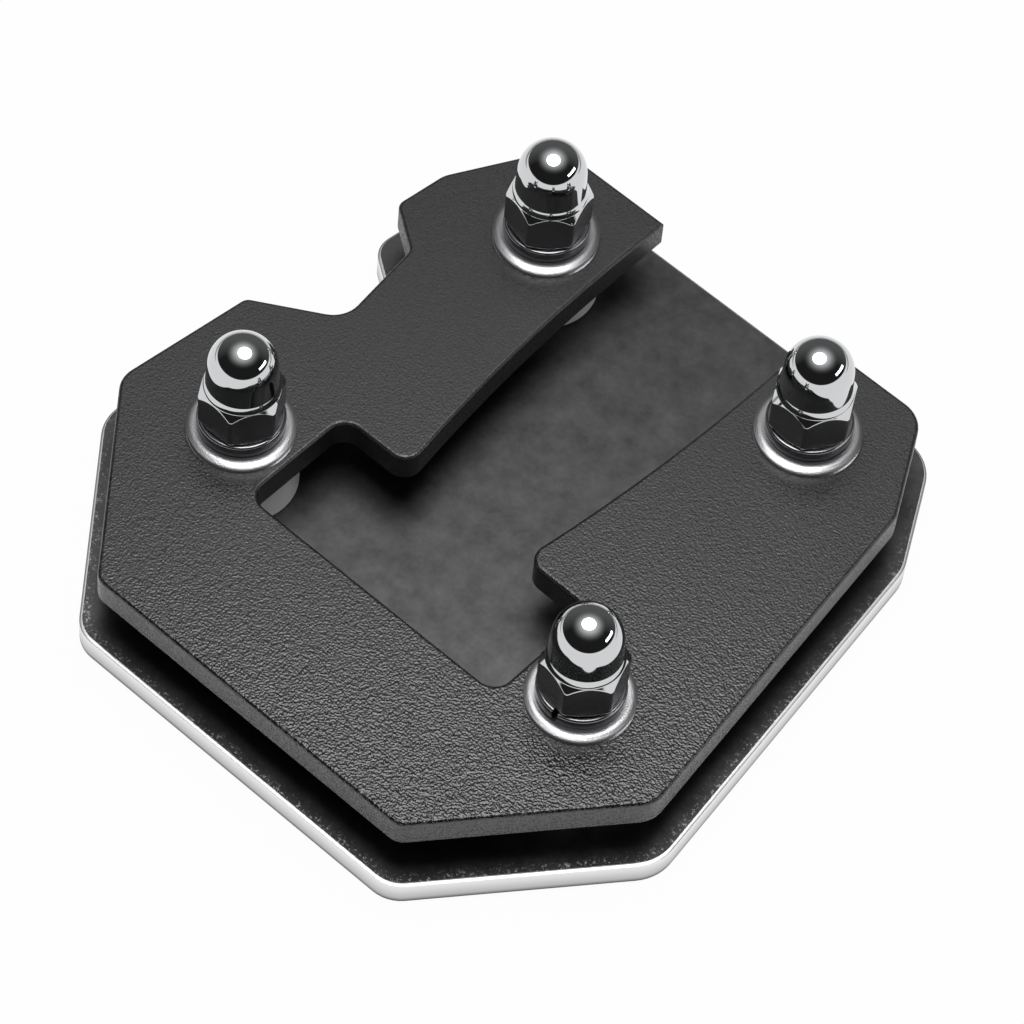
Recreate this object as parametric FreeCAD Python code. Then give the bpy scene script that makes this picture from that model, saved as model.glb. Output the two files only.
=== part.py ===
import FreeCAD, Part
import math
import os

os.makedirs("parts", exist_ok=True)

# Kickstand foot enlarger: a wide base plate, a smaller top plate held above it on spacers,
# and four bolts with flat washers, spring washers and cap nuts. Millimetres, +Z up.
# The origin lies on the ground face, midway across and midway along the plates.
# The foot goes in from +Y, along the channel, until it stands in the cross pocket.

# Plate stack
base_thickness = 4.0
spacer_height = 6.0
top_thickness = 4.0
base_border = 2.3
base_edge_break = 0.35
top_edge_round = 0.5

# Outer outline of the top plate, the same on both sides of the channel but for the notch
plate_half_length = 45.3
front_half_width = 25.1
hip_half_width = 44.85
hip_from_front = 23.8
shoulder_half_width = 38.4
shoulder_from_rear = 14.3
tail_half_width = 30.6
front_corner_radius = 2.5
hip_radius = 4.0
shoulder_radius = 4.0
tail_radius = 4.5

# Notch in the left side
notch_mouth_from_shoulder = 7.7
notch_mouth_length = 24.9
notch_rear_inset = 4.4
notch_rear_depth = 11.85
notch_floor_length = 13.7
notch_front_depth = 13.45
notch_mouth_radius = 1.5
notch_rear_radius = 1.8
notch_front_radius = 4.0
smallest_corner_radius = 0.6

# Channel and cross pocket that take the foot
mouth_half_width = 12.9
mouth_straight = 10.3
wall_radius = 265.0
throat_radius = 2.5
front_bar_width = 21.95
pocket_length = 17.0
pocket_half_width = 20.6
pocket_corner_radius = 2.5

# Bolt positions, measured in from the plate's front edge, rear edge, hips and tail corners
front_bolt_from_front = 28.5
front_bolt_from_hip = 16.45
rear_bolt_from_rear = 12.5
rear_bolt_from_tail = 8.4

# Countersunk socket screws, put in from below
screw_diameter = 6.0
screw_length = 25.0
screw_head_diameter = 12.0
screw_head_recess = 0.3
screw_tip_chamfer = 0.6
socket_across_flats = 4.0
socket_depth = 2.3
plate_hole_clearance = 0.6

# Spacers between the plates
spacer_diameter = 15.0
spacer_clearance = 0.4
spacer_edge_break = 0.3

# Flat washers, their upper face rounded off towards the rim
flat_washer_diameter = 13.8
flat_washer_thickness = 1.6
flat_washer_clearance = 0.4
flat_washer_rim_drop = 0.225
flat_washer_rim_width = 0.46
flat_washer_face_round = 1.7
flat_washer_rim_round = 0.18

# Spring washers, split and slightly helical, their upper outer edge rounded
spring_washer_diameter = 11.2
spring_washer_round = 0.4
spring_washer_thickness = 1.6
spring_washer_rise = 0.3
spring_washer_clearance = 0.2
spring_washer_split = 8.0

# Cap nuts
nut_across_flats = 9.9
nut_corner_diameter = 11.2
nut_hex_height = 4.8
nut_upper_chamfer_angle = 55.0
nut_lower_chamfer_angle = 30.0
nut_seat_diameter = 9.7
collar_diameter = 9.75
collar_height = 1.0
collar_turn = 30.0
dome_radius = 4.45
nut_height = 13.9
thread_clearance = 0.04
thread_end_gap = 1.0
thread_mouth_chamfer = 0.35

hip_y = hip_from_front - plate_half_length
shoulder_y = plate_half_length - shoulder_from_rear
front_bolt_x = hip_half_width - front_bolt_from_hip
front_bolt_y = front_bolt_from_front - plate_half_length
rear_bolt_x = tail_half_width - rear_bolt_from_tail
rear_bolt_y = plate_half_length - rear_bolt_from_rear

# Each bolt's place, the turn of its nut and the place of its spring washer's split, from above
bolts = {
    "front_left": (-front_bolt_x, front_bolt_y, 59.2, 118.0),
    "front_right": (front_bolt_x, front_bolt_y, 47.7, -84.0),
    "rear_left": (-rear_bolt_x, rear_bolt_y, 44.2, 150.0),
    "rear_right": (rear_bolt_x, rear_bolt_y, 59.1, 95.0),
}

top_underside_z = base_thickness + spacer_height
top_surface_z = top_underside_z + top_thickness
spring_seat_z = top_surface_z + flat_washer_thickness
nut_seat_z = spring_seat_z + spring_washer_thickness + spring_washer_rise
screw_radius = screw_diameter / 2
plate_hole_radius = (screw_diameter + plate_hole_clearance) / 2
margin = 1.0


def plan(x, y):
    return FreeCAD.Vector(x, y, 0)


def section(x, z):
    return FreeCAD.Vector(x, 0, z)


def line(start, end):
    return Part.LineSegment(start, end).toShape()


def arc(start, middle, end):
    return Part.Arc(start, middle, end).toShape()


def side_x(y):
    # The side edge runs straight from the hip to the shoulder.
    share = (y - hip_y) / (shoulder_y - hip_y)
    return hip_half_width + share * (shoulder_half_width - hip_half_width)


def chain(corners, place):
    # Straight edges through the corners, each inner corner (a, b, radius) rounded.
    edges = []
    last = place(*corners[0][:2])
    for before, corner, after in zip(corners, corners[1:], corners[2:]):
        tip = place(*corner[:2])
        back = place(*before[:2]) - tip
        ahead = place(*after[:2]) - tip
        back.normalize()
        ahead.normalize()
        start = end = tip
        if corner[2] > 0:
            half = back.getAngle(ahead) / 2
            reach = corner[2] / math.tan(half)
            start = tip + back * reach
            end = tip + ahead * reach
            inward = back + ahead
            inward.normalize()
            middle = tip + inward * (corner[2] / math.sin(half) - corner[2])
        if last.distanceToPoint(start) > Part.Precision.confusion():
            edges.append(line(last, start))
        if corner[2] > 0:
            edges.append(arc(start, middle, end))
        last = end
    finish = place(*corners[-1][:2])
    if last.distanceToPoint(finish) > Part.Precision.confusion():
        edges.append(line(last, finish))
    return edges


def loop(corners, place):
    # A closed outline, started halfway along its last edge.
    first, last = corners[0], corners[-1]
    halfway = ((first[0] + last[0]) / 2, (first[1] + last[1]) / 2)
    return chain([halfway] + corners + [halfway], place)


def prism(edges, bottom, top):
    face = Part.Face(Part.Wire(edges))
    face.translate(FreeCAD.Vector(0, 0, bottom))
    return face.extrude(FreeCAD.Vector(0, 0, top - bottom))


def turned(corners):
    # A closed (radius, height) profile turned once round the Z axis.
    face = Part.Face(Part.Wire(loop(corners, section)))
    return face.revolve(FreeCAD.Vector(0, 0, 0), FreeCAD.Vector(0, 0, 1), 360)


def hexagon(across_flats, bottom, top):
    reach = across_flats / 2 / math.cos(math.pi / 6)
    angles = [math.pi / 3 * step for step in range(6)]
    corners = [(reach * math.cos(a), reach * math.sin(a), 0) for a in angles]
    return prism(loop(corners, plan), bottom, top)


def grown(corners, distance):
    # Every edge of a closed outline moved outward; the corners keep their centres where they can.
    shape = []
    for index, corner in enumerate(corners):
        before = corners[index - 1]
        after = corners[(index + 1) % len(corners)]
        ahead = (after[0] - corner[0], after[1] - corner[1])
        back = (corner[0] - before[0], corner[1] - before[1])
        turn = back[0] * ahead[1] - back[1] * ahead[0]
        back_length = math.hypot(*back)
        ahead_length = math.hypot(*ahead)
        back_out = (back[1] / back_length, -back[0] / back_length)
        ahead_out = (ahead[1] / ahead_length, -ahead[0] / ahead_length)
        spread = 1 + back_out[0] * ahead_out[0] + back_out[1] * ahead_out[1]
        x = corner[0] + distance * (back_out[0] + ahead_out[0]) / spread
        y = corner[1] + distance * (back_out[1] + ahead_out[1]) / spread
        radius = corner[2] + distance if turn > 0 else corner[2] - distance
        shape.append((x, y, max(radius, smallest_corner_radius)))
    return shape


def edges_at(shape, height):
    return [e for e in shape.Edges if all(abs(v.Z - height) < Part.Precision.confusion() for v in e.Vertexes)]


# Outer outline, counter-clockwise from the front right
right_side = [
    (front_half_width, -plate_half_length, front_corner_radius),
    (hip_half_width, hip_y, hip_radius),
    (shoulder_half_width, shoulder_y, shoulder_radius),
    (tail_half_width, plate_half_length, tail_radius),
]
notch_mouth_rear_y = shoulder_y - notch_mouth_from_shoulder
notch_mouth_front_y = notch_mouth_rear_y - notch_mouth_length
notch_floor_rear_y = notch_mouth_rear_y - notch_rear_inset
notch_floor_front_y = notch_floor_rear_y - notch_floor_length
notch = [
    (-side_x(notch_mouth_rear_y), notch_mouth_rear_y, notch_mouth_radius),
    (notch_rear_depth - hip_half_width, notch_floor_rear_y, notch_rear_radius),
    (notch_front_depth - hip_half_width, notch_floor_front_y, notch_front_radius),
    (-side_x(notch_mouth_front_y), notch_mouth_front_y, notch_mouth_radius),
]
mirrored = [(-x, y, radius) for x, y, radius in reversed(right_side)]
left_side = mirrored[:2] + notch + mirrored[2:]
outer_outline = right_side + left_side

# Channel wall: straight at the mouth, then a large arc that narrows towards the pocket,
# then a rounded throat corner onto the pocket's rear wall
pocket_front_y = front_bar_width - plate_half_length
pocket_rear_y = pocket_front_y + pocket_length
wall_tangent_y = plate_half_length - mouth_straight
wall_centre_x = mouth_half_width - wall_radius
throat_y = pocket_rear_y + throat_radius
throat_x = wall_centre_x + math.sqrt((wall_radius + throat_radius) ** 2 - (wall_tangent_y - throat_y) ** 2)
throat_angle = math.atan2(throat_y - wall_tangent_y, throat_x - wall_centre_x)


def wall_point(angle):
    x = wall_centre_x + wall_radius * math.cos(angle)
    return x, wall_tangent_y + wall_radius * math.sin(angle)


def throat_point(angle):
    return throat_x + throat_radius * math.cos(angle), throat_y + throat_radius * math.sin(angle)


wall_end = wall_point(throat_angle)
wall_middle = wall_point(throat_angle / 2)
throat_middle = throat_point((throat_angle + math.pi - math.pi / 2) / 2 + math.pi)


def channel_wall(side):
    mouth = plan(side * mouth_half_width, plate_half_length)
    tangent = plan(side * mouth_half_width, wall_tangent_y)
    narrow = plan(side * wall_end[0], wall_end[1])
    corner = plan(side * throat_x, pocket_rear_y)
    return [
        line(mouth, tangent),
        arc(tangent, plan(side * wall_middle[0], wall_middle[1]), narrow),
        arc(narrow, plan(side * throat_middle[0], throat_middle[1]), corner),
    ]


pocket = chain([
    (throat_x, pocket_rear_y),
    (pocket_half_width, pocket_rear_y, pocket_corner_radius),
    (pocket_half_width, pocket_front_y, pocket_corner_radius),
    (-pocket_half_width, pocket_front_y, pocket_corner_radius),
    (-pocket_half_width, pocket_rear_y, pocket_corner_radius),
    (-throat_x, pocket_rear_y),
], plan)
rim = chain([(-mouth_half_width, plate_half_length)] + left_side + right_side
            + [(mouth_half_width, plate_half_length)], plan)
top_outline = rim + channel_wall(1) + pocket + channel_wall(-1)[::-1]


def drilled(plate, bottom, top):
    for x, y, nut_turn, split in bolts.values():
        hole = Part.makeCylinder(plate_hole_radius, top - bottom, FreeCAD.Vector(x, y, bottom))
        plate = plate.cut(hole)
    return plate


top_plate = prism(Part.__sortEdges__(top_outline), top_underside_z, top_surface_z)
top_plate = top_plate.makeFillet(top_edge_round, edges_at(top_plate, top_surface_z))
top_plate = drilled(top_plate, top_underside_z, top_surface_z)

# Base plate: the same outline with a border all round, closed behind the channel mouth
base_outline = grown(outer_outline, base_border)
base_plate = prism(loop(base_outline, plan), 0, base_thickness)
rims = edges_at(base_plate, base_thickness) + edges_at(base_plate, 0)
base_plate = base_plate.makeChamfer(base_edge_break, rims)
base_plate = drilled(base_plate, 0, base_thickness)

# Countersinks: the screw heads rest in them just under the ground face
head_radius = screw_head_diameter / 2
seat_cone = head_radius + screw_head_recess
countersink = turned([
    (0, -margin, 0),
    (seat_cone + margin, -margin, 0),
    (plate_hole_radius, seat_cone - plate_hole_radius, 0),
    (0, seat_cone - plate_hole_radius, 0),
])
for x, y, nut_turn, split in bolts.values():
    sink = countersink.copy()
    sink.translate(FreeCAD.Vector(x, y, 0))
    base_plate = base_plate.cut(sink)

# Screw: cone head, shank, chamfered tip and a hexagon socket with a drilled end
screw_tip_z = screw_head_recess + screw_length
socket_top_z = screw_head_recess + socket_depth
screw = turned([
    (0, screw_head_recess, 0),
    (head_radius, screw_head_recess, 0),
    (screw_radius, seat_cone - screw_radius, 0),
    (screw_radius, screw_tip_z - screw_tip_chamfer, 0),
    (screw_radius - screw_tip_chamfer, screw_tip_z, 0),
    (0, screw_tip_z, 0),
])
socket = hexagon(socket_across_flats, screw_head_recess - margin, socket_top_z)
socket_end = Part.makeCone(socket_across_flats / 2, 0, socket_across_flats / 4, section(0, socket_top_z))
screw = screw.cut(socket.fuse(socket_end))

# Spacer: a turned tube with broken edges
spacer_radius = spacer_diameter / 2
spacer_bore = (screw_diameter + spacer_clearance) / 2
spacer = turned([
    (spacer_bore, base_thickness, 0),
    (spacer_radius - spacer_edge_break, base_thickness, 0),
    (spacer_radius, base_thickness + spacer_edge_break, 0),
    (spacer_radius, top_underside_z - spacer_edge_break, 0),
    (spacer_radius - spacer_edge_break, top_underside_z, 0),
    (spacer_bore, top_underside_z, 0),
])

# Flat washer: flat inside, then falling away in a large round to a small round at the rim
flat_washer_radius = flat_washer_diameter / 2
flat_washer_bore = (screw_diameter + flat_washer_clearance) / 2
flat_washer = turned([
    (flat_washer_bore, top_surface_z, 0),
    (flat_washer_radius, top_surface_z, 0),
    (flat_washer_radius, spring_seat_z - flat_washer_rim_drop, flat_washer_rim_round),
    (flat_washer_radius - flat_washer_rim_width, spring_seat_z, flat_washer_face_round),
    (flat_washer_bore, spring_seat_z, 0),
])

# Spring washer: its section carried round a shallow helix, with a split
spring_radius = spring_washer_diameter / 2
spring_bore = (screw_diameter + spring_washer_clearance) / 2
spring_turn = 1 - spring_washer_split / 360
spring_path = Part.makeHelix(spring_washer_rise / spring_turn, spring_washer_rise, (spring_radius + spring_bore) / 2)
spring_path.translate(FreeCAD.Vector(0, 0, spring_seat_z))
spring_profile = Part.Wire(loop([
    (spring_bore, spring_seat_z, 0),
    (spring_radius, spring_seat_z, 0),
    (spring_radius, spring_seat_z + spring_washer_thickness, spring_washer_round),
    (spring_bore, spring_seat_z + spring_washer_thickness, 0),
], section))
spring_washer = Part.Wire(spring_path.Edges).makePipeShell([spring_profile], True, True)

# Cap nut: a chamfered hexagon, a collar that curves inward, a tapered neck and a round dome
corner_radius = nut_corner_diameter / 2
seat_radius = nut_seat_diameter / 2
collar_radius = collar_diameter / 2
lower_slope = math.tan(math.radians(nut_lower_chamfer_angle))
upper_slope = math.tan(math.radians(nut_upper_chamfer_angle))
collar_arc = math.radians(collar_turn)
collar_round = collar_height / math.sin(collar_arc)
nut_top_z = nut_seat_z + nut_height
shoulder_z = nut_seat_z + nut_hex_height
collar_foot_z = shoulder_z + (corner_radius - collar_radius) * upper_slope
collar_top_z = collar_foot_z + collar_height
trim = turned([
    (0, nut_seat_z, 0),
    (seat_radius, nut_seat_z, 0),
    (corner_radius, nut_seat_z + (corner_radius - seat_radius) * lower_slope, 0),
    (corner_radius, shoulder_z, 0),
    (collar_radius, collar_foot_z, 0),
    (0, collar_foot_z, 0),
])
collar_bend_z = collar_foot_z + collar_round * math.tan(collar_arc / 2)
collar_top_radius = collar_radius - collar_round * (1 - math.cos(collar_arc))
drop = nut_top_z - dome_radius - collar_top_z
taper = math.acos(dome_radius / math.hypot(collar_top_radius, drop)) - math.atan2(drop, collar_top_radius)
dome_tip_x = dome_radius / math.tan(math.pi / 4 + taper / 2)
dome = turned([
    (0, nut_seat_z + margin, 0),
    (dome_radius - margin, nut_seat_z + margin, 0),
    (dome_radius - margin, collar_foot_z, 0),
    (collar_radius, collar_foot_z, 0),
    (collar_radius, collar_bend_z, collar_round),
    (collar_top_radius, collar_top_z, 0),
    (dome_tip_x, nut_top_z, dome_radius),
    (0, nut_top_z, 0),
])
thread_radius = screw_radius + thread_clearance / 2
thread_end_z = screw_tip_z + thread_end_gap
thread = turned([
    (0, nut_seat_z - margin, 0),
    (thread_radius + thread_mouth_chamfer + margin, nut_seat_z - margin, 0),
    (thread_radius, nut_seat_z + thread_mouth_chamfer, 0),
    (thread_radius, thread_end_z, 0),
    (0, thread_end_z + thread_radius * lower_slope, 0),
])
cap_nut = hexagon(nut_across_flats, nut_seat_z, collar_foot_z).common(trim).fuse(dome).cut(thread)
cap_nut = cap_nut.removeSplitter()


def save(shape, name, x=0, y=0, turn=0):
    piece = shape.copy()
    piece.rotate(FreeCAD.Vector(0, 0, 0), FreeCAD.Vector(0, 0, 1), turn)
    piece.translate(FreeCAD.Vector(x, y, 0))
    piece.exportStep("parts/" + name + ".step")


save(base_plate, "base_plate")
save(top_plate, "top_plate")
for place, (x, y, nut_turn, split) in bolts.items():
    save(screw, "screw_" + place, x, y, nut_turn)
    save(spacer, "spacer_" + place, x, y)
    save(flat_washer, "flat_washer_" + place, x, y)
    save(spring_washer, "spring_washer_" + place, x, y, split + spring_washer_split / 2)
    save(cap_nut, "cap_nut_" + place, x, y, nut_turn)
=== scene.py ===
import math

import bpy
from mathutils import Matrix, Vector


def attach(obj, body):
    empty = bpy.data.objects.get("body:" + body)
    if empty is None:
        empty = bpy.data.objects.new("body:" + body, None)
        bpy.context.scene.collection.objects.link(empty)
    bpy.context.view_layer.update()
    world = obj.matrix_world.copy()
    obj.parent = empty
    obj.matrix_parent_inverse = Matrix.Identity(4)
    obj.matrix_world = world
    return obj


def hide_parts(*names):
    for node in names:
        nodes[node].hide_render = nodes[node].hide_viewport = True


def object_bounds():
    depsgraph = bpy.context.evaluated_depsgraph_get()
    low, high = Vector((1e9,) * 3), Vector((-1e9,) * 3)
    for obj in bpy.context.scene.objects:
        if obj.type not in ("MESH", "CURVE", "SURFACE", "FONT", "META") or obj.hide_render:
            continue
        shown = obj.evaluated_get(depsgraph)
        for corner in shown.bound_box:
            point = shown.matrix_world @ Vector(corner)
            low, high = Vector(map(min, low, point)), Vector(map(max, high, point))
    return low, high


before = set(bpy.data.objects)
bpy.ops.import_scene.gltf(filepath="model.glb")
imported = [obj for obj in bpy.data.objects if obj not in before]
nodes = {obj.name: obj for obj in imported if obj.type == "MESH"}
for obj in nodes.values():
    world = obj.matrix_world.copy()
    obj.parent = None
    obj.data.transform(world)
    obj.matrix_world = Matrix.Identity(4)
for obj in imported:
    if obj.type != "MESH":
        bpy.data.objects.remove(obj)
cad_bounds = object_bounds()
scene = bpy.context.scene

PLACES = ("front_left", "front_right", "rear_left", "rear_right")
UP = Vector((0, 0, 1))
PER_METRE = 1000

# Camera: angles in radians, lens and sensor in millimetres, the rest in metres
AZIMUTH = math.radians(37.56)
ELEVATION = math.radians(54.43)
ROLL = math.radians(6.0)
AIM = Vector((0.004412, -0.002769, 0.0148))
DISTANCE = 0.61553
LENS = 175.78
SENSOR = 36.0

# Level directions, to the viewer's right and away from the viewer
ACROSS = Vector((math.cos(AZIMUTH), math.sin(AZIMUTH), 0))
AWAY = Vector((-math.sin(AZIMUTH), math.cos(AZIMUTH), 0))

# Lights: azimuth and elevation in degrees, sizes and distances in metres
LIT_SPOT = Vector((0, 0, 0.012))
LAMP = (127.6, 84.0)
LAMP_SIZE = 0.29
LAMP_DISTANCE = 0.40
LAMP_RADIANCE = 4.5
STRIP = (30.6, 23.0)
STRIP_WIDTH = 0.38
STRIP_HEIGHT = 0.07
STRIP_DISTANCE = 0.60
STRIP_RADIANCE = 5.0
STRIP_TILT = -9.0

# World: the white band is lower to the rear and higher to the sides, the glow lies round the lamp
BAND_LEAN = 0.10
BAND_LIFT = 0.11
BAND_FADE = (0.02, 0.05)
REAR_SPAN = (0.0, 0.8)
REAR_LEVEL = (0.016, 0.12)
GLOW_SPAN = (0.55, 1.0)
GLOW_FALL = 3.2
GLOW_LEVEL = 1.15

# Floor: just below the object, white in reflections as far as the sheet reaches
FLOOR_SIZE = 6.0
FLOOR_GAP = 0.0001
FLOOR_GREY = (0.85, 0.85, 0.85, 1.0)
WHITE = (1.0, 1.0, 1.0, 1.0)
WHITE_SHARE = 0.97
SHEET_END = (0.13, 0.17)
BEYOND_SHEET = 0.05

# Ranges of a factor, and the part of a noise that spreads over one
RISING = (0.0, 1.0)
FALLING = (1.0, 0.0)
NOISE_SPAN = (0.3, 0.7)

# Sockets of a colour mix
MIX_FACTOR = 0
MIX_LOW = 6
MIX_HIGH = 7
MIX_RESULT = 2

# Base plate: the upper bevel lies between these heights in metres and is shaded from the
# first rise, in degrees, up to the second
BEVEL_FOOT = 0.0036
BEVEL_HEAD = 0.0039
BEVEL_FOOT_RISE = 68
BEVEL_HEAD_RISE = 90

# Upward share of a normal: beyond it a face is level, sloping or a washer's underside
LEVEL_FACE = 0.9
SLOPING_FACE = 0.3
UNDERSIDE = -0.5

# Numbers of the base plate's materials and of the cap nuts' materials
FACE = 0
EDGE = 1
FOOT = 2
ROUND = 0
FLAT = 1

# Coat: depths along AWAY in metres, and what changes over them
SMOOTH_DEPTH = (-0.035, 0.02)
COAT_ROUGHNESS = (0.245, 0.41)
GLINT_SPAN = (0.40, 0.75)
GLINT_SHARE = (0.90, 1.5)
CRISP_DEPTH = (-0.048, -0.016)
CRISP_STRENGTH = (0.30, 0.0)
SOFT_DEPTH = (-0.048, 0.03)
SOFT_STRENGTH = (0.48, 0.12)
GRAIN_HEIGHT = 0.00013

# Satin face: scuffs lie where a rounded normal bends away, up to this reach from an edge
CLOUD_ROUGHNESS = (0.38, 0.44)
STAIN_DARK = (0.062, 0.062, 0.064, 1.0)
STAIN_LIGHT = (0.110, 0.110, 0.112, 1.0)
SCUFF_GREY = (0.9, 0.9, 0.9, 1.0)
SCUFF_REACH = 0.0035
SCUFF_BEND = (1.0, 0.93)
SCUFF_DEPTH = (-0.03, 0.015)
FLECK_SPAN = (0.57, 0.64)

# Bare edge: heights in metres, and how much it brightens over them; painted shade low down, painted
# light above
LOWER_EDGE = (0.00035, 0.0011)
LOWER_SHARE = (0.0, 0.55)
UPPER_EDGE = (0.0011, 0.0034)
UPPER_SHARE = (0.0, 0.45)
# Painted shade: the near-black colour at the foot of the bare edge
EDGE_PAINTED_SHADE = (0.03, 0.03, 0.03, 1.0)
EDGE_BRIGHT = (0.82, 0.82, 0.83, 1.0)

# Flat washers: radius of the face and heights of the rim in metres, rises in degrees
WASHER_FACE = 0.0064
WASHER_FOOT = 0.0140
WASHER_HEAD = 0.0153
RIM_FOOT_RISE = 38
RIM_HEAD_RISE = 69

# Cap nut, in millimetres; heights are measured from its seat
NUT_SEAT_Z = 17.5
NUT_FLAT = 4.95
NUT_CORNER = 5.6
NUT_SEAT = 4.85
NUT_HEX_HEIGHT = 4.8
NUT_HEIGHT = 13.9
UPPER_SLOPE = math.tan(math.radians(55))
LOWER_SLOPE = math.tan(math.radians(30))
COLLAR = 4.875
COLLAR_HEIGHT = 1.0
COLLAR_TURN = math.radians(30)
COLLAR_STEPS = 6
DOME = 4.45
DOME_STEPS = 28
BORE = 3.02
BORE_MOUTH = 0.35
BORE_DEPTH = 8.8
EDGE_ROUND = 0.35
EDGE_SHARE = 0.45
EDGE_STEPS = 3
CORNER_SOFTNESS = 0.02

# Cap nut, in degrees: how each one is turned, and its columns from a flat's middle to a corner
NUT_TURNS = {"front_left": 59.2, "front_right": 47.7, "rear_left": 44.2, "rear_right": 59.1}
SIDES = 6
SIDE_ANGLE = 60
CORNER_ANGLE = 30
HALF_SIDE = [0, 4, 8, 12, 16, 20, 23, 25, 26.5, 27.5, 28, 28.5, 29.2]


def heading(azimuth, elevation):
    # Direction from two angles in degrees
    turned = math.radians(azimuth)
    raised = math.radians(elevation)
    level = math.cos(raised)
    return Vector((level * math.cos(turned), level * math.sin(turned), math.sin(raised)))


# Node helpers

def new_material(name, values):
    # values holds the shader inputs that are the same all over the surface
    material = bpy.data.materials.new(name)
    material.use_nodes = True
    shader = material.node_tree.nodes["Principled BSDF"]
    for socket, value in values.items():
        shader.inputs[socket].default_value = value
    return material, material.node_tree, shader


def add(tree, kind, **settings):
    node = tree.nodes.new(kind)
    for key, value in settings.items():
        setattr(node, key, value)
    return node


def feed(tree, socket, value):
    # value is another node's socket, or a plain number, colour or direction
    if isinstance(value, bpy.types.NodeSocket):
        tree.links.new(value, socket)
    else:
        socket.default_value = value


def object_place(tree):
    return add(tree, "ShaderNodeTexCoord").outputs["Object"]


def noise(tree, place, scale, detail=0.0, roughness=0.5):
    texture = add(tree, "ShaderNodeTexNoise")
    texture.inputs["Scale"].default_value = scale
    texture.inputs["Detail"].default_value = detail
    texture.inputs["Roughness"].default_value = roughness
    feed(tree, texture.inputs["Vector"], place)
    return texture.outputs["Fac"]


def spread(tree, value, source, target):
    # Maps a value from one pair of limits to another, and no further
    node = add(tree, "ShaderNodeMapRange")
    node.inputs["From Min"].default_value = source[0]
    node.inputs["From Max"].default_value = source[1]
    node.inputs["To Min"].default_value = target[0]
    node.inputs["To Max"].default_value = target[1]
    feed(tree, node.inputs["Value"], value)
    return node.outputs["Result"]


def combine(tree, operation, first, second):
    node = add(tree, "ShaderNodeMath", operation=operation)
    feed(tree, node.inputs[0], first)
    feed(tree, node.inputs[1], second)
    return node.outputs["Value"]


def along(tree, place, direction):
    # How far a place lies along a direction
    node = add(tree, "ShaderNodeVectorMath", operation="DOT_PRODUCT")
    feed(tree, node.inputs[0], place)
    feed(tree, node.inputs[1], direction)
    return node.outputs["Value"]


def blend(tree, factor, low, high):
    node = add(tree, "ShaderNodeMix", data_type="RGBA")
    feed(tree, node.inputs[MIX_FACTOR], factor)
    feed(tree, node.inputs[MIX_LOW], low)
    feed(tree, node.inputs[MIX_HIGH], high)
    return node.outputs[MIX_RESULT]


def mix_shaders(tree, factor, first, second):
    node = add(tree, "ShaderNodeMixShader")
    feed(tree, node.inputs["Fac"], factor)
    feed(tree, node.inputs[1], first)
    feed(tree, node.inputs[2], second)
    return node.outputs["Shader"]


def add_bump(tree, shader, height, strength, distance):
    bump = add(tree, "ShaderNodeBump")
    feed(tree, bump.inputs["Strength"], strength)
    bump.inputs["Distance"].default_value = distance
    feed(tree, bump.inputs["Height"], height)
    feed(tree, shader.inputs["Normal"], bump.outputs["Normal"])


# Materials

def wrinkle_coat():
    # Black; its fine grain stands out in front and softens towards the rear
    uniform = {"Base Color": (0.006, 0.006, 0.0062, 1.0), "Specular IOR Level": 0.62, "IOR": 1.6}
    material, tree, shader = new_material("wrinkle_coat", uniform)
    place = object_place(tree)
    depth = along(tree, place, AWAY)
    smooth = spread(tree, depth, SMOOTH_DEPTH, COAT_ROUGHNESS)
    uneven = spread(tree, noise(tree, place, scale=3100.0), GLINT_SPAN, GLINT_SHARE)
    feed(tree, shader.inputs["Roughness"], combine(tree, "MULTIPLY", smooth, uneven))
    crisp = spread(tree, depth, CRISP_DEPTH, CRISP_STRENGTH)
    soft = spread(tree, depth, SOFT_DEPTH, SOFT_STRENGTH)
    grain = noise(tree, place, scale=3600.0)
    add_bump(tree, shader, grain, combine(tree, "ADD", crisp, soft), GRAIN_HEIGHT)
    return material


def satin_face():
    # Dark satin metal with cloudy stains; in front it is scuffed near its edges
    material, tree, shader = new_material("satin_face", {})
    place = object_place(tree)
    cloud = noise(tree, place, scale=110.0, detail=4.0, roughness=0.6)
    feed(tree, shader.inputs["Roughness"], spread(tree, cloud, NOISE_SPAN, CLOUD_ROUGHNESS))
    stains = noise(tree, place, scale=300.0, detail=5.0, roughness=0.7)
    stained = blend(tree, spread(tree, stains, NOISE_SPAN, RISING), STAIN_DARK, STAIN_LIGHT)
    rounded = add(tree, "ShaderNodeBevel", samples=8)
    rounded.inputs["Radius"].default_value = SCUFF_REACH
    straight = add(tree, "ShaderNodeNewGeometry").outputs["Normal"]
    bend = along(tree, rounded.outputs["Normal"], straight)
    near_edge = spread(tree, bend, SCUFF_BEND, RISING)
    specks = noise(tree, place, scale=2400.0, detail=3.0, roughness=0.7)
    flecks = spread(tree, specks, FLECK_SPAN, RISING)
    in_front = spread(tree, along(tree, place, AWAY), SCUFF_DEPTH, FALLING)
    scuffs = combine(tree, "MULTIPLY", combine(tree, "MULTIPLY", near_edge, flecks), in_front)
    feed(tree, shader.inputs["Metallic"], combine(tree, "SUBTRACT", 1.0, scuffs))
    feed(tree, shader.inputs["Base Color"], blend(tree, scuffs, stained, SCUFF_GREY))
    return material


def bare_edge():
    # Bare metal; its colour darkens towards the ground as painted shade and lightens upwards as painted
    # light
    material, tree, shader = new_material("bare_edge", {"Roughness": 0.30, "Metallic": 1.0})
    height = along(tree, object_place(tree), UP)
    lower = spread(tree, height, LOWER_EDGE, LOWER_SHARE)
    upper = spread(tree, height, UPPER_EDGE, UPPER_SHARE)
    bright = combine(tree, "ADD", lower, upper)
    feed(tree, shader.inputs["Base Color"], blend(tree, bright, EDGE_PAINTED_SHADE, EDGE_BRIGHT))
    return material


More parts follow.
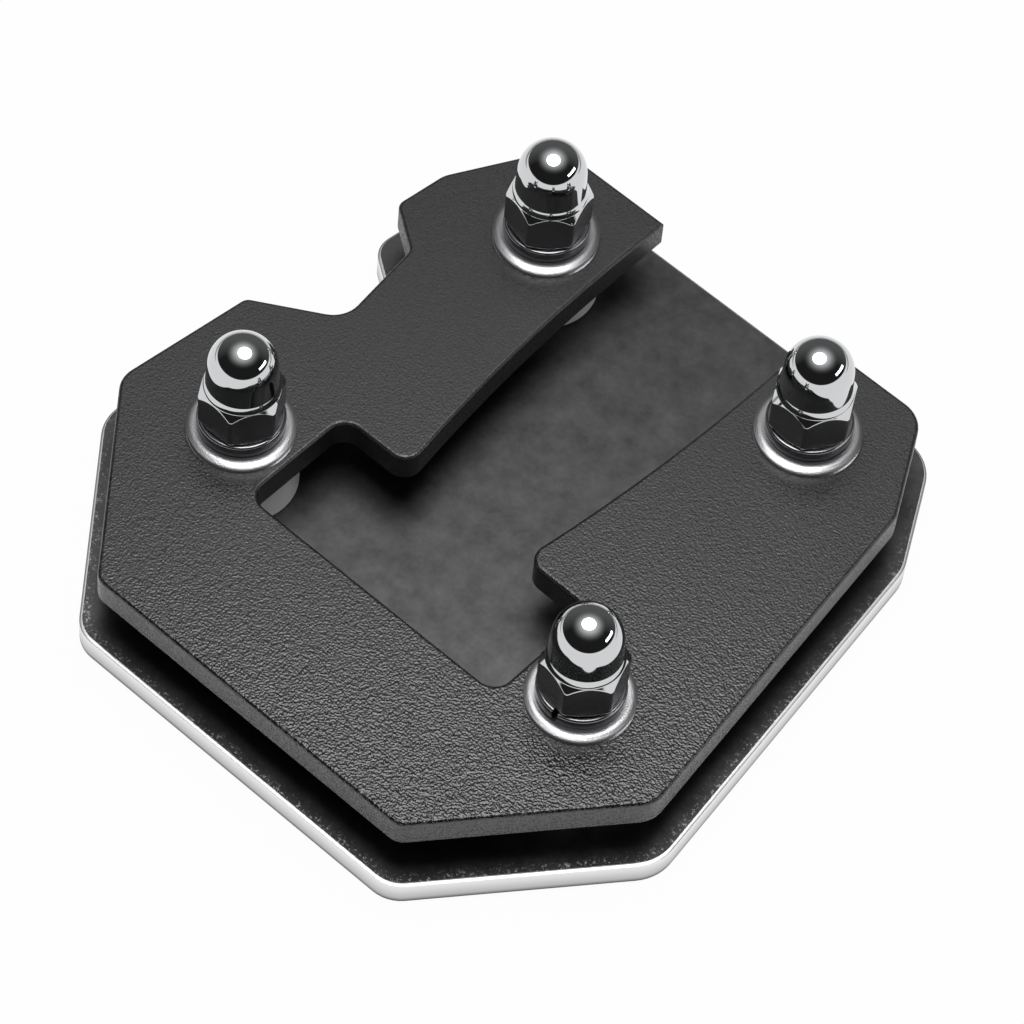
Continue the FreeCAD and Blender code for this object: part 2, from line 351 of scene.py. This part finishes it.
def painted_shade_foot():
    # The lower bevel's near-black colour is painted shade along the foot of the edge
    uniform = {"Base Color": (0.05, 0.05, 0.05, 1.0), "Roughness": 0.4, "Metallic": 1.0}
    return new_material("painted_shade_foot", uniform)[0]


def polished_chrome():
    uniform = {"Base Color": (0.61, 0.62, 0.63, 1.0), "Roughness": 0.04, "Metallic": 1.0}
    return new_material("polished_chrome", uniform)[0]


def dull_shaded_chrome():
    # Rougher chrome for the hexagon's flats; its darker colour than the polished chrome is painted
    # shade
    uniform = {"Base Color": (0.36, 0.36, 0.37, 1.0), "Roughness": 0.24, "Metallic": 1.0}
    return new_material("dull_shaded_chrome", uniform)[0]


def washer_steel():
    uniform = {"Base Color": (0.43, 0.43, 0.44, 1.0), "Roughness": 0.28, "Metallic": 1.0}
    material, tree, shader = new_material("washer_steel", uniform)
    grain = noise(tree, object_place(tree), scale=5000.0, detail=1.0)
    add_bump(tree, shader, grain, strength=0.35, distance=0.00005)
    return material


def spring_steel():
    # Its dark colour is painted shade, where the spring washer sits between the nut and the flat washer
    uniform = {"Base Color": (0.26, 0.26, 0.27, 1.0), "Roughness": 0.18, "Metallic": 1.0}
    return new_material("spring_steel", uniform)[0]


def spacer_metal():
    uniform = {"Base Color": (0.78, 0.78, 0.79, 1.0), "Roughness": 0.45, "Metallic": 0.1}
    return new_material("spacer_metal", uniform)[0]


def screw_steel():
    uniform = {"Base Color": (0.42, 0.42, 0.43, 1.0), "Roughness": 0.30, "Metallic": 1.0}
    return new_material("screw_steel", uniform)[0]


# Pieces that keep the shape of the part

def dress(node_name, material):
    piece = nodes[node_name]
    piece.data.materials.clear()
    piece.data.materials.append(material)


def dressed_copy(node_name, name, materials):
    # The same shape as a node, with materials and normals of its own
    piece = nodes[node_name].copy()
    piece.data = nodes[node_name].data.copy()
    piece.name = name
    piece.parent = None
    piece.matrix_world = Matrix()
    scene.collection.objects.link(piece)
    piece.data.materials.clear()
    for material in materials:
        piece.data.materials.append(material)
    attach(piece, "root")
    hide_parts(node_name)
    return piece, [Vector(normal.vector) for normal in piece.data.corner_normals]


def middle_of(node_name):
    corners = [Vector(corner) for corner in nodes[node_name].bound_box]
    return sum(corners, Vector()) / len(corners)


def raised(level, rise):
    # A level direction, raised by an angle
    return level * math.cos(rise) + Vector((0, 0, math.sin(rise)))


def round_washer(place, material):
    # The rim is shaded as a round that runs from the face down to the foot
    node_name = "flat_washer_" + place
    middle = middle_of(node_name)
    piece, normals = dressed_copy(node_name, "round_washer_" + place, [material])
    for polygon in piece.data.polygons:
        on_face = (polygon.center.xy - middle.xy).length < WASHER_FACE
        if on_face or polygon.normal.z < UNDERSIDE:
            continue
        for loop, vertex in zip(polygon.loop_indices, polygon.vertices):
            spot = piece.data.vertices[vertex].co
            outward = Vector((*(spot.xy - middle.xy).normalized(), 0))
            share = min(max((spot.z - WASHER_FOOT) / (WASHER_HEAD - WASHER_FOOT), 0), 1)
            shaded = math.radians(RIM_FOOT_RISE + (RIM_HEAD_RISE - RIM_FOOT_RISE) * share)
            rise = max(math.asin(min(normals[loop].z, 1)), shaded)
            normals[loop] = raised(outward, rise)
    piece.data.normals_split_custom_set(normals)


def base_plate(materials):
    # The faces are satin and the cut edge is bare; the narrow upper bevel is shaded as a
    # round that runs up to the face
    piece, normals = dressed_copy("base_plate", "base_plate_faces", materials)
    for polygon in piece.data.polygons:
        facing = polygon.normal.z
        heights = [piece.data.vertices[vertex].co.z for vertex in polygon.vertices]
        if abs(facing) > LEVEL_FACE:
            polygon.material_index = FACE
        elif facing < -SLOPING_FACE:
            # The downward bevel takes the near-black material, painted shade at the edge's foot
            polygon.material_index = FOOT
        else:
            polygon.material_index = EDGE
        if SLOPING_FACE < facing < LEVEL_FACE and min(heights) > BEVEL_FOOT:
            for loop, height in zip(polygon.loop_indices, heights):
                level = Vector((*normals[loop].xy, 0)).normalized()
                rise = BEVEL_HEAD_RISE if height > BEVEL_HEAD else BEVEL_FOOT_RISE
                normals[loop] = raised(level, math.radians(rise))
    piece.data.normals_split_custom_set(normals)


# Cap nuts: the same form with its edges slightly rounded and its curves finely stepped

def hexagon_edge(angle):
    # Distance to the hexagon's side at an angle from the middle of a flat, and its slope along the side
    flat = NUT_FLAT / math.cos(angle)
    gap = (flat - NUT_CORNER) / CORNER_SOFTNESS
    share = 1 / (1 + math.exp(gap))
    reach = min(flat, NUT_CORNER) - CORNER_SOFTNESS * math.log1p(math.exp(-abs(gap)))
    return reach, share * flat * math.tan(angle) / reach


def nut_profile(reach):
    # (radius, height, rounded, lies on a flat afterwards) from the bore's end round to the dome's tip
    foot = NUT_HEX_HEIGHT + (NUT_CORNER - COLLAR) * UPPER_SLOPE
    arc = COLLAR_HEIGHT / math.sin(COLLAR_TURN)
    profile = [
        (0, BORE_DEPTH + BORE * LOWER_SLOPE, False, False),
        (BORE, BORE_DEPTH, False, False),
        (BORE, BORE_MOUTH, False, False),
        (BORE + BORE_MOUTH, 0, False, False),
        (NUT_SEAT, 0, True, False),
        (reach, (reach - NUT_SEAT) * LOWER_SLOPE, True, True),
        (reach, NUT_HEX_HEIGHT + (NUT_CORNER - reach) * UPPER_SLOPE, True, False),
        (COLLAR, foot, True, False),
    ]
    for step in range(1, COLLAR_STEPS):
        angle = COLLAR_TURN * step / COLLAR_STEPS
        radius = COLLAR - arc * (1 - math.cos(angle))
        profile.append((radius, foot + arc * math.sin(angle), False, False))
    neck = COLLAR - arc * (1 - math.cos(COLLAR_TURN))
    profile.append((neck, foot + COLLAR_HEIGHT, True, False))
    centre = NUT_HEIGHT - DOME
    drop = centre - foot - COLLAR_HEIGHT
    taper = math.acos(DOME / math.hypot(neck, drop)) - math.atan2(drop, neck)
    for step in range(DOME_STEPS):
        angle = taper + (math.pi / 2 - taper) * step / DOME_STEPS
        profile.append((DOME * math.cos(angle), centre + DOME * math.sin(angle), False, False))
    profile.append((0, NUT_HEIGHT, False, False))
    return profile


def softened(profile):
    # Rows of (radius, height, outward share and upward share of the normal, share of a flat)
    rows = []
    for before, corner, after in zip(profile, profile[1:], profile[2:]):
        tip = Vector(corner[:2])
        into = tip - Vector(before[:2])
        out = Vector(after[:2]) - tip
        shortest = min(into.length, out.length)
        into.normalize()
        out.normalize()
        bend = math.atan2(into.x * out.y - into.y * out.x, into.dot(out))
        half = math.tan(abs(bend) / 2)
        left = Vector((-into.y, into.x)) * math.copysign(1, bend)
        is_rounded = corner[2]
        reach = min(EDGE_ROUND * half, shortest * EDGE_SHARE) if is_rounded else 0
        for step in range(EDGE_STEPS + 1) if is_rounded else [EDGE_STEPS / 2]:
            share = step / EDGE_STEPS
            angle = abs(bend) * share
            course = into * math.cos(angle) + left * math.sin(angle)
            aside = into * math.sin(angle) + left * (1 - math.cos(angle))
            spot = tip - into * reach + aside * reach / half
            flat = before[3] * (1 - share) + corner[3] * share
            rows.append((spot.x, spot.y, course.y, -course.x, flat))
    return rows


def nut_points(seat, turn):
    # Points and normals in one column of rows for each direction, and the last column's rows;
    # the columns gather towards the hexagon's corners
    angles = [-angle for angle in reversed(HALF_SIDE[1:])] + HALF_SIDE + [CORNER_ANGLE]
    vertices = []
    normals = []
    for side in range(SIDES):
        for degrees in angles:
            angle = math.radians(degrees)
            reach, slope = hexagon_edge(angle)
            bearing = math.radians(turn + CORNER_ANGLE + SIDE_ANGLE * side) + angle
            outward = Vector((math.cos(bearing), math.sin(bearing), 0))
            sideways = Vector((-math.sin(bearing), math.cos(bearing), 0))
            rows = softened(nut_profile(reach))
            for radius, height, out, up, flat in rows:
                vertices.append(seat + (outward * radius + Vector((0, 0, height))) / PER_METRE)
                normal = (outward - sideways * slope * flat) * out + Vector((0, 0, up))
                normals.append(normal.normalized())
    return vertices, normals, rows


def nut_faces(columns, rows):
    # Faces between the columns and the two end points, and for each the number of its material
    flats = [row[4] for row in rows]
    count = len(rows)
    bore_end = columns * count
    dome_tip = bore_end + 1
    faces = []
    surfaces = []
    for column in range(columns):
        here = column * count
        there = (column + 1) % columns * count
        faces.append((bore_end, there, here))
        surfaces.append(ROUND)
        for row in range(count - 1):
            faces.append((here + row, there + row, there + row + 1, here + row + 1))
            surfaces.append(FLAT if flats[row] == flats[row + 1] == 1 else ROUND)
        faces.append((here + count - 1, there + count - 1, dome_tip))
        surfaces.append(ROUND)
    return faces, surfaces


def cap_nut(place, materials):
    middle = middle_of("flat_washer_" + place)
    seat = Vector((middle.x, middle.y, NUT_SEAT_Z / PER_METRE))
    vertices, normals, rows = nut_points(seat, NUT_TURNS[place])
    faces, surfaces = nut_faces(len(vertices) // len(rows), rows)
    profile = nut_profile(NUT_FLAT)
    for end, normal in ((profile[0], -UP), (profile[-1], UP)):
        vertices.append(seat + Vector((0, 0, end[1])) / PER_METRE)
        normals.append(normal)
    mesh = bpy.data.meshes.new("polished_nut_" + place)
    mesh.from_pydata(vertices, [], faces)
    mesh.shade_smooth()
    mesh.normals_split_custom_set_from_vertices(normals)
    for material in materials:
        mesh.materials.append(material)
    for polygon, surface in zip(mesh.polygons, surfaces):
        polygon.material_index = surface
    piece = bpy.data.objects.new("polished_nut_" + place, mesh)
    scene.collection.objects.link(piece)
    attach(piece, "root")
    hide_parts("cap_nut_" + place)


# Floor: white to the eye and in reflections as far as the sheet reaches, and it keeps the shadow

def seen_share(tree):
    # The share of plain white for each kind of ray
    path = add(tree, "ShaderNodeLightPath").outputs
    depth = along(tree, object_place(tree), AWAY)
    sheet = spread(tree, depth, SHEET_END, (1.0, BEYOND_SHEET))
    glossy = combine(tree, "MULTIPLY", path["Is Glossy Ray"], sheet)
    seen_or_mirrored = combine(tree, "MAXIMUM", path["Is Camera Ray"], glossy)
    seen = combine(tree, "MAXIMUM", seen_or_mirrored, path["Is Transmission Ray"])
    return combine(tree, "MULTIPLY", seen, WHITE_SHARE)


def white_floor():
    # Clear from below, so that the underside can be looked at
    material = bpy.data.materials.new("white_floor")
    material.use_nodes = True
    tree = material.node_tree
    tree.nodes.clear()
    diffuse = add(tree, "ShaderNodeBsdfDiffuse")
    diffuse.inputs["Color"].default_value = FLOOR_GREY
    glow = add(tree, "ShaderNodeEmission")
    glow.inputs["Color"].default_value = WHITE
    glow.inputs["Strength"].default_value = 1.0
    lit = mix_shaders(tree, seen_share(tree), diffuse.outputs["BSDF"], glow.outputs["Emission"])
    below = add(tree, "ShaderNodeNewGeometry").outputs["Backfacing"]
    clear = add(tree, "ShaderNodeBsdfTransparent").outputs["BSDF"]
    output = add(tree, "ShaderNodeOutputMaterial")
    feed(tree, output.inputs["Surface"], mix_shaders(tree, below, lit, clear))
    return material


def lay_floor():
    height = cad_bounds[0][2] - FLOOR_GAP
    bpy.ops.mesh.primitive_plane_add(size=FLOOR_SIZE, location=(0, 0, height))
    floor = bpy.context.object
    floor.name = "floor"
    floor.data.materials.append(white_floor())


# World and lights

def studio_world():
    # A white band low in front and at the sides, a dim ceiling that is brighter to the rear,
    # a soft glow round the lamp, and white behind the object
    world = bpy.data.worlds.new("studio")
    scene.world = world
    world.use_nodes = True
    tree = world.node_tree
    tree.nodes.clear()
    direction = add(tree, "ShaderNodeTexCoord").outputs["Generated"]
    leaning = along(tree, direction, AWAY * BAND_LEAN + UP)
    sideways = along(tree, direction, ACROSS)
    lift = combine(tree, "MULTIPLY", combine(tree, "MULTIPLY", sideways, sideways), BAND_LIFT)
    band = spread(tree, combine(tree, "SUBTRACT", leaning, lift), BAND_FADE, FALLING)
    rear = spread(tree, along(tree, direction, AWAY), REAR_SPAN, REAR_LEVEL)
    near_lamp = spread(tree, along(tree, direction, heading(*LAMP)), GLOW_SPAN, RISING)
    glow = combine(tree, "MULTIPLY", combine(tree, "POWER", near_lamp, GLOW_FALL), GLOW_LEVEL)
    ceiling = combine(tree, "ADD", rear, glow)
    room = add(tree, "ShaderNodeBackground")
    feed(tree, room.inputs["Color"], combine(tree, "MAXIMUM", band, ceiling))
    white = add(tree, "ShaderNodeBackground")
    white.inputs["Color"].default_value = WHITE
    seen = add(tree, "ShaderNodeLightPath").outputs["Is Camera Ray"]
    shown_room = mix_shaders(tree, seen, room.outputs["Background"], white.outputs["Background"])
    feed(tree, add(tree, "ShaderNodeOutputWorld").inputs["Surface"], shown_room)


def area_light(name, shape, size, surface, radiance):
    data = bpy.data.lights.new(name, "AREA")
    data.shape = shape
    data.size = size
    data.energy = radiance * math.pi * surface
    return data


def hang(data, direction, distance, tilt=0.0):
    # Hangs a light at a distance from the object, facing it
    light = bpy.data.objects.new(data.name, data)
    place = Matrix.Translation(LIT_SPOT + direction * distance)
    facing = direction.to_track_quat("Z", "Y").to_matrix().to_4x4()
    light.matrix_world = place @ facing @ Matrix.Rotation(math.radians(tilt), 4, "Z")
    scene.collection.objects.link(light)


def overhead_lamp():
    surface = math.pi * LAMP_SIZE * LAMP_SIZE / 4
    data = area_light("overhead", "DISK", LAMP_SIZE, surface, LAMP_RADIANCE)
    hang(data, heading(*LAMP), LAMP_DISTANCE)


def side_strip():
    surface = STRIP_WIDTH * STRIP_HEIGHT
    data = area_light("side_strip", "RECTANGLE", STRIP_WIDTH, surface, STRIP_RADIANCE)
    data.size_y = STRIP_HEIGHT
    hang(data, heading(*STRIP), STRIP_DISTANCE, STRIP_TILT)


# Camera at the photograph's angle

def photo_camera():
    sight = AWAY * math.cos(ELEVATION) - UP * math.sin(ELEVATION)
    level_up = AWAY * math.sin(ELEVATION) + UP * math.cos(ELEVATION)
    right = ACROSS * math.cos(ROLL) + level_up * math.sin(ROLL)
    image_up = level_up * math.cos(ROLL) - ACROSS * math.sin(ROLL)
    data = bpy.data.cameras.new("camera")
    data.lens = LENS
    data.sensor_width = SENSOR
    camera = bpy.data.objects.new("camera", data)
    axes = Matrix((right, image_up, -sight)).transposed().to_4x4()
    camera.matrix_world = Matrix.Translation(AIM - sight * DISTANCE) @ axes
    scene.collection.objects.link(camera)
    scene.camera = camera


# The object

dress("top_plate", wrinkle_coat())
chromes = [polished_chrome(), dull_shaded_chrome()]
washer = washer_steel()
spring = spring_steel()
spacer = spacer_metal()
screw = screw_steel()
for corner_place in PLACES:
    round_washer(corner_place, washer)
    dress("spring_washer_" + corner_place, spring)
    dress("spacer_" + corner_place, spacer)
    dress("screw_" + corner_place, screw)
    cap_nut(corner_place, chromes)
base_plate([satin_face(), bare_edge(), painted_shade_foot()])

# The studio

lay_floor()
studio_world()
overhead_lamp()
side_strip()
photo_camera()
scene.view_settings.view_transform = "Standard"
